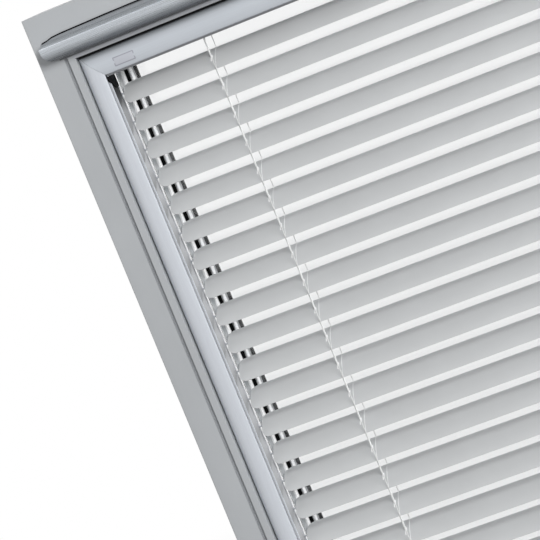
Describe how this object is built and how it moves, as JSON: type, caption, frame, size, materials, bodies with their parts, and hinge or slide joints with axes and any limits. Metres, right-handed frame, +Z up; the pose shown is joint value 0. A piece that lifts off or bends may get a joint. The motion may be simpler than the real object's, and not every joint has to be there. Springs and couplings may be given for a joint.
{
  "type": "skylight window blind",
  "caption": "Roof-window sash with a fitted venetian blind: glazed frame, grab bar, side rails, casing, crowned slats that tilt and draw up on ladder cords.",
  "frame": {"origin": "middle of the sash's bottom edge face: middle of its width and half way through the sash's depth", "axes": "+Z up the sash, +X to the right seen from the room, +Y through the glass to the outside"},
  "size_m": [0.7, 0.1006, 0.7882],
  "materials": {
    "sash_white": "satin white-grey lacquer on a moulded sash",
    "black_rubber": "matt black seal",
    "clear_glass": "clear float glass",
    "spacer_grey": "mill aluminium",
    "cover_grey": "dark grey lacquer",
    "rail_aluminium": "silver anodised, satin",
    "handle_aluminium": "silver anodised, brushed satin",
    "slat_lacquer": "satin light grey lacquer",
    "cord_white": "braided polyester cord",
    "plastic_grey": "fine matt grey",
    "shaft_steel": "drawn bar"
  },
  "bodies": {
    "root": {"sash_frame": "sash_white", "glazing_gasket": "black_rubber", "glass_inner_pane": "clear_glass", "glazing_spacer": "spacer_grey", "glass_outer_pane": "clear_glass", "outer_glazing_frame": "cover_grey", "side_rail_left": "rail_aluminium", "side_rail_right": "rail_aluminium", "top_casing": "rail_aluminium", "guide_shoe_01": "plastic_grey", "lift_cord_left": "cord_white", "lift_cord_right": "cord_white"},
    "control_bar": {"control_bar": "handle_aluminium"},
    "tilt_shaft": {"tilt_shaft": "shaft_steel"},
    "bottom_bar": {"bottom_bar": "rail_aluminium"},
    "control_slider": {"control_slider": "plastic_grey"},
    "tilt_wheel": {"tilt_wheel": "plastic_grey"},
    "front_ladders": {"ladder_front_left": "cord_white", "ladder_front_right": "cord_white"},
    "back_ladders": {"ladder_back_left": "cord_white", "ladder_back_right": "cord_white"},
    "slat_01": {"slat_01": "slat_lacquer"},
    "slat_02": {"slat_02": "slat_lacquer"},
    "slat_03": {"slat_03": "slat_lacquer"},
    "slat_04": {"slat_04": "slat_lacquer"},
    "slat_05": {"slat_05": "slat_lacquer"},
    "slat_06": {"slat_06": "slat_lacquer"},
    "slat_07": {"slat_07": "slat_lacquer"},
    "slat_08": {"slat_08": "slat_lacquer"},
    "slat_09": {"slat_09": "slat_lacquer"},
    "slat_10": {"slat_10": "slat_lacquer"},
    "slat_11": {"slat_11": "slat_lacquer"},
    "slat_12": {"slat_12": "slat_lacquer"},
    "slat_13": {"slat_13": "slat_lacquer"},
    "slat_14": {"slat_14": "slat_lacquer"},
    "slat_15": {"slat_15": "slat_lacquer"},
    "slat_16": {"slat_16": "slat_lacquer"},
    "slat_17": {"slat_17": "slat_lacquer"},
    "slat_18": {"slat_18": "slat_lacquer"},
    "slat_19": {"slat_19": "slat_lacquer"},
    "slat_20": {"slat_20": "slat_lacquer"},
    "guide_shoe_02": {"guide_shoe_02": "plastic_grey"},
    "guide_shoe_03": {"guide_shoe_03": "plastic_grey"},
    "guide_shoe_04": {"guide_shoe_04": "plastic_grey"},
    "guide_shoe_05": {"guide_shoe_05": "plastic_grey"},
    "guide_shoe_06": {"guide_shoe_06": "plastic_grey"},
    "guide_shoe_07": {"guide_shoe_07": "plastic_grey"},
    "guide_shoe_08": {"guide_shoe_08": "plastic_grey"},
    "guide_shoe_09": {"guide_shoe_09": "plastic_grey"},
    "guide_shoe_10": {"guide_shoe_10": "plastic_grey"},
    "guide_shoe_11": {"guide_shoe_11": "plastic_grey"},
    "guide_shoe_12": {"guide_shoe_12": "plastic_grey"},
    "guide_shoe_13": {"guide_shoe_13": "plastic_grey"},
    "guide_shoe_14": {"guide_shoe_14": "plastic_grey"},
    "guide_shoe_15": {"guide_shoe_15": "plastic_grey"},
    "guide_shoe_16": {"guide_shoe_16": "plastic_grey"},
    "guide_shoe_17": {"guide_shoe_17": "plastic_grey"},
    "guide_shoe_18": {"guide_shoe_18": "plastic_grey"},
    "guide_shoe_19": {"guide_shoe_19": "plastic_grey"},
    "guide_shoe_20": {"guide_shoe_20": "plastic_grey"}
  },
  "joints": [
    {"name": "shaft_turn", "type": "hinge", "parent": "root", "child": "tilt_shaft", "pos_m": [0, -0.017, 0.7164], "axis": [1, 0, 0], "range_deg": [-98, 32]},
    {"name": "blind_lift", "type": "slide", "parent": "root", "child": "bottom_bar", "axis": [0, 0, 1], "range_m": [0, 0.494], "deforming": ["ladder_front_left", "ladder_front_right", "ladder_back_left", "ladder_back_right", "lift_cord_left", "lift_cord_right"]},
    {"name": "slider_travel", "type": "slide", "parent": "root", "child": "control_slider", "axis": [0, 0, 1], "range_m": [-0.494, 0]},
    {"name": "wheel_turn", "type": "hinge", "parent": "control_slider", "child": "tilt_wheel", "pos_m": [0.2951, -0.05089, 0.6675], "axis": [1, 0, 0], "range_deg": [-196, 64]},
    {"name": "control_bar_pull", "type": "hinge", "parent": "root", "child": "control_bar", "pos_m": [0, -0.039, 0.7378], "axis": [1, 0, 0], "range_deg": [0, 35]},
    {"name": "slat_01_tilt", "type": "hinge", "parent": "root", "child": "slat_01", "pos_m": [0, -0.017, 0.6807], "axis": [1, 0, 0], "range_deg": [-98, 32]},
    {"name": "shoe_02_lift", "type": "slide", "parent": "root", "child": "guide_shoe_02", "axis": [0, 0, 1], "range_m": [0, 0.026]},
    {"name": "slat_02_tilt", "type": "hinge", "parent": "guide_shoe_02", "child": "slat_02", "pos_m": [0, -0.017, 0.6497], "axis": [1, 0, 0], "range_deg": [-98, 32]},
    {"name": "shoe_03_lift", "type": "slide", "parent": "root", "child": "guide_shoe_03", "axis": [0, 0, 1], "range_m": [0, 0.052]},
    {"name": "slat_03_tilt", "type": "hinge", "parent": "guide_shoe_03", "child": "slat_03", "pos_m": [0, -0.017, 0.6187], "axis": [1, 0, 0], "range_deg": [-98, 32]},
    {"name": "shoe_04_lift", "type": "slide", "parent": "root", "child": "guide_shoe_04", "axis": [0, 0, 1], "range_m": [0, 0.078]},
    {"name": "slat_04_tilt", "type": "hinge", "parent": "guide_shoe_04", "child": "slat_04", "pos_m": [0, -0.017, 0.5877], "axis": [1, 0, 0], "range_deg": [-98, 32]},
    {"name": "shoe_05_lift", "type": "slide", "parent": "root", "child": "guide_shoe_05", "axis": [0, 0, 1], "range_m": [0, 0.104]},
    {"name": "slat_05_tilt", "type": "hinge", "parent": "guide_shoe_05", "child": "slat_05", "pos_m": [0, -0.017, 0.5567], "axis": [1, 0, 0], "range_deg": [-98, 32]},
    {"name": "shoe_06_lift", "type": "slide", "parent": "root", "child": "guide_shoe_06", "axis": [0, 0, 1], "range_m": [0, 0.13]},
    {"name": "slat_06_tilt", "type": "hinge", "parent": "guide_shoe_06", "child": "slat_06", "pos_m": [0, -0.017, 0.5257], "axis": [1, 0, 0], "range_deg": [-98, 32]},
    {"name": "shoe_07_lift", "type": "slide", "parent": "root", "child": "guide_shoe_07", "axis": [0, 0, 1], "range_m": [0, 0.156]},
    {"name": "slat_07_tilt", "type": "hinge", "parent": "guide_shoe_07", "child": "slat_07", "pos_m": [0, -0.017, 0.4947], "axis": [1, 0, 0], "range_deg": [-98, 32]},
    {"name": "shoe_08_lift", "type": "slide", "parent": "root", "child": "guide_shoe_08", "axis": [0, 0, 1], "range_m": [0, 0.182]},
    {"name": "slat_08_tilt", "type": "hinge", "parent": "guide_shoe_08", "child": "slat_08", "pos_m": [0, -0.017, 0.4637], "axis": [1, 0, 0], "range_deg": [-98, 32]},
    {"name": "shoe_09_lift", "type": "slide", "parent": "root", "child": "guide_shoe_09", "axis": [0, 0, 1], "range_m": [0, 0.208]},
    {"name": "slat_09_tilt", "type": "hinge", "parent": "guide_shoe_09", "child": "slat_09", "pos_m": [0, -0.017, 0.4327], "axis": [1, 0, 0], "range_deg": [-98, 32]},
    {"name": "shoe_10_lift", "type": "slide", "parent": "root", "child": "guide_shoe_10", "axis": [0, 0, 1], "range_m": [0, 0.234]},
    {"name": "slat_10_tilt", "type": "hinge", "parent": "guide_shoe_10", "child": "slat_10", "pos_m": [0, -0.017, 0.4017], "axis": [1, 0, 0], "range_deg": [-98, 32]},
    {"name": "shoe_11_lift", "type": "slide", "parent": "root", "child": "guide_shoe_11", "axis": [0, 0, 1], "range_m": [0, 0.26]},
    {"name": "slat_11_tilt", "type": "hinge", "parent": "guide_shoe_11", "child": "slat_11", "pos_m": [0, -0.017, 0.3707], "axis": [1, 0, 0], "range_deg": [-98, 32]},
    {"name": "shoe_12_lift", "type": "slide", "parent": "root", "child": "guide_shoe_12", "axis": [0, 0, 1], "range_m": [0, 0.286]},
    {"name": "slat_12_tilt", "type": "hinge", "parent": "guide_shoe_12", "child": "slat_12", "pos_m": [0, -0.017, 0.3397], "axis": [1, 0, 0], "range_deg": [-98, 32]},
    {"name": "shoe_13_lift", "type": "slide", "parent": "root", "child": "guide_shoe_13", "axis": [0, 0, 1], "range_m": [0, 0.312]},
    {"name": "slat_13_tilt", "type": "hinge", "parent": "guide_shoe_13", "child": "slat_13", "pos_m": [0, -0.017, 0.3087], "axis": [1, 0, 0], "range_deg": [-98, 32]},
    {"name": "shoe_14_lift", "type": "slide", "parent": "root", "child": "guide_shoe_14", "axis": [0, 0, 1], "range_m": [0, 0.338]},
    {"name": "slat_14_tilt", "type": "hinge", "parent": "guide_shoe_14", "child": "slat_14", "pos_m": [0, -0.017, 0.2777], "axis": [1, 0, 0], "range_deg": [-98, 32]},
    {"name": "shoe_15_lift", "type": "slide", "parent": "root", "child": "guide_shoe_15", "axis": [0, 0, 1], "range_m": [0, 0.364]},
    {"name": "slat_15_tilt", "type": "hinge", "parent": "guide_shoe_15", "child": "slat_15", "pos_m": [0, -0.017, 0.2467], "axis": [1, 0, 0], "range_deg": [-98, 32]},
    {"name": "shoe_16_lift", "type": "slide", "parent": "root", "child": "guide_shoe_16", "axis": [0, 0, 1], "range_m": [0, 0.39]},
    {"name": "slat_16_tilt", "type": "hinge", "parent": "guide_shoe_16", "child": "slat_16", "pos_m": [0, -0.017, 0.2157], "axis": [1, 0, 0], "range_deg": [-98, 32]},
    {"name": "shoe_17_lift", "type": "slide", "parent": "root", "child": "guide_shoe_17", "axis": [0, 0, 1], "range_m": [0, 0.416]},
    {"name": "slat_17_tilt", "type": "hinge", "parent": "guide_shoe_17", "child": "slat_17", "pos_m": [0, -0.017, 0.1847], "axis": [1, 0, 0], "range_deg": [-98, 32]},
    {"name": "shoe_18_lift", "type": "slide", "parent": "root", "child": "guide_shoe_18", "axis": [0, 0, 1], "range_m": [0, 0.442]},
    {"name": "slat_18_tilt", "type": "hinge", "parent": "guide_shoe_18", "child": "slat_18", "pos_m": [0, -0.017, 0.1537], "axis": [1, 0, 0], "range_deg": [-98, 32]},
    {"name": "shoe_19_lift", "type": "slide", "parent": "root", "child": "guide_shoe_19", "axis": [0, 0, 1], "range_m": [0, 0.468]},
    {"name": "slat_19_tilt", "type": "hinge", "parent": "guide_shoe_19", "child": "slat_19", "pos_m": [0, -0.017, 0.1227], "axis": [1, 0, 0], "range_deg": [-98, 32]},
    {"name": "shoe_20_lift", "type": "slide", "parent": "root", "child": "guide_shoe_20", "axis": [0, 0, 1], "range_m": [0, 0.494]},
    {"name": "slat_20_tilt", "type": "hinge", "parent": "guide_shoe_20", "child": "slat_20", "pos_m": [0, -0.017, 0.0917], "axis": [1, 0, 0], "range_deg": [-98, 32]},
    {"name": "front_ladders_swing", "type": "hinge", "parent": "slat_01", "child": "front_ladders", "pos_m": [0, -0.03186, 0.66962], "axis": [1, 0, 0], "range_deg": [-32, 98]},
    {"name": "back_ladders_swing", "type": "hinge", "parent": "slat_01", "child": "back_ladders", "pos_m": [0, -0.00083, 0.68977], "axis": [1, 0, 0], "range_deg": [-32, 98]}
  ],
  "couplings": [
    {"joint": "slider_travel", "follows": "blind_lift", "ratio": -1},
    {"joint": "wheel_turn", "follows": "shaft_turn", "ratio": 2},
    {"joint": "slat_01_tilt", "follows": "shaft_turn", "ratio": 1},
    {"joint": "shoe_02_lift", "follows": "blind_lift", "ratio": 0.052632},
    {"joint": "slat_02_tilt", "follows": "shaft_turn", "ratio": 1},
    {"joint": "shoe_03_lift", "follows": "blind_lift", "ratio": 0.10526},
    {"joint": "slat_03_tilt", "follows": "shaft_turn", "ratio": 1},
    {"joint": "shoe_04_lift", "follows": "blind_lift", "ratio": 0.15789},
    {"joint": "slat_04_tilt", "follows": "shaft_turn", "ratio": 1},
    {"joint": "shoe_05_lift", "follows": "blind_lift", "ratio": 0.21053},
    {"joint": "slat_05_tilt", "follows": "shaft_turn", "ratio": 1},
    {"joint": "shoe_06_lift", "follows": "blind_lift", "ratio": 0.26316},
    {"joint": "slat_06_tilt", "follows": "shaft_turn", "ratio": 1},
    {"joint": "shoe_07_lift", "follows": "blind_lift", "ratio": 0.31579},
    {"joint": "slat_07_tilt", "follows": "shaft_turn", "ratio": 1},
    {"joint": "shoe_08_lift", "follows": "blind_lift", "ratio": 0.36842},
    {"joint": "slat_08_tilt", "follows": "shaft_turn", "ratio": 1},
    {"joint": "shoe_09_lift", "follows": "blind_lift", "ratio": 0.42105},
    {"joint": "slat_09_tilt", "follows": "shaft_turn", "ratio": 1},
    {"joint": "shoe_10_lift", "follows": "blind_lift", "ratio": 0.47368},
    {"joint": "slat_10_tilt", "follows": "shaft_turn", "ratio": 1},
    {"joint": "shoe_11_lift", "follows": "blind_lift", "ratio": 0.52632},
    {"joint": "slat_11_tilt", "follows": "shaft_turn", "ratio": 1},
    {"joint": "shoe_12_lift", "follows": "blind_lift", "ratio": 0.57895},
    {"joint": "slat_12_tilt", "follows": "shaft_turn", "ratio": 1},
    {"joint": "shoe_13_lift", "follows": "blind_lift", "ratio": 0.63158},
    {"joint": "slat_13_tilt", "follows": "shaft_turn", "ratio": 1},
    {"joint": "shoe_14_lift", "follows": "blind_lift", "ratio": 0.68421},
    {"joint": "slat_14_tilt", "follows": "shaft_turn", "ratio": 1},
    {"joint": "shoe_15_lift", "follows": "blind_lift", "ratio": 0.73684},
    {"joint": "slat_15_tilt", "follows": "shaft_turn", "ratio": 1},
    {"joint": "shoe_16_lift", "follows": "blind_lift", "ratio": 0.78947},
    {"joint": "slat_16_tilt", "follows": "shaft_turn", "ratio": 1},
    {"joint": "shoe_17_lift", "follows": "blind_lift", "ratio": 0.84211},
    {"joint": "slat_17_tilt", "follows": "shaft_turn", "ratio": 1},
    {"joint": "shoe_18_lift", "follows": "blind_lift", "ratio": 0.89474},
    {"joint": "slat_18_tilt", "follows": "shaft_turn", "ratio": 1},
    {"joint": "shoe_19_lift", "follows": "blind_lift", "ratio": 0.94737},
    {"joint": "slat_19_tilt", "follows": "shaft_turn", "ratio": 1},
    {"joint": "shoe_20_lift", "follows": "blind_lift", "ratio": 1},
    {"joint": "slat_20_tilt", "follows": "shaft_turn", "ratio": 1},
    {"joint": "front_ladders_swing", "follows": "shaft_turn", "ratio": -1},
    {"joint": "back_ladders_swing", "follows": "shaft_turn", "ratio": -1}
  ]
}
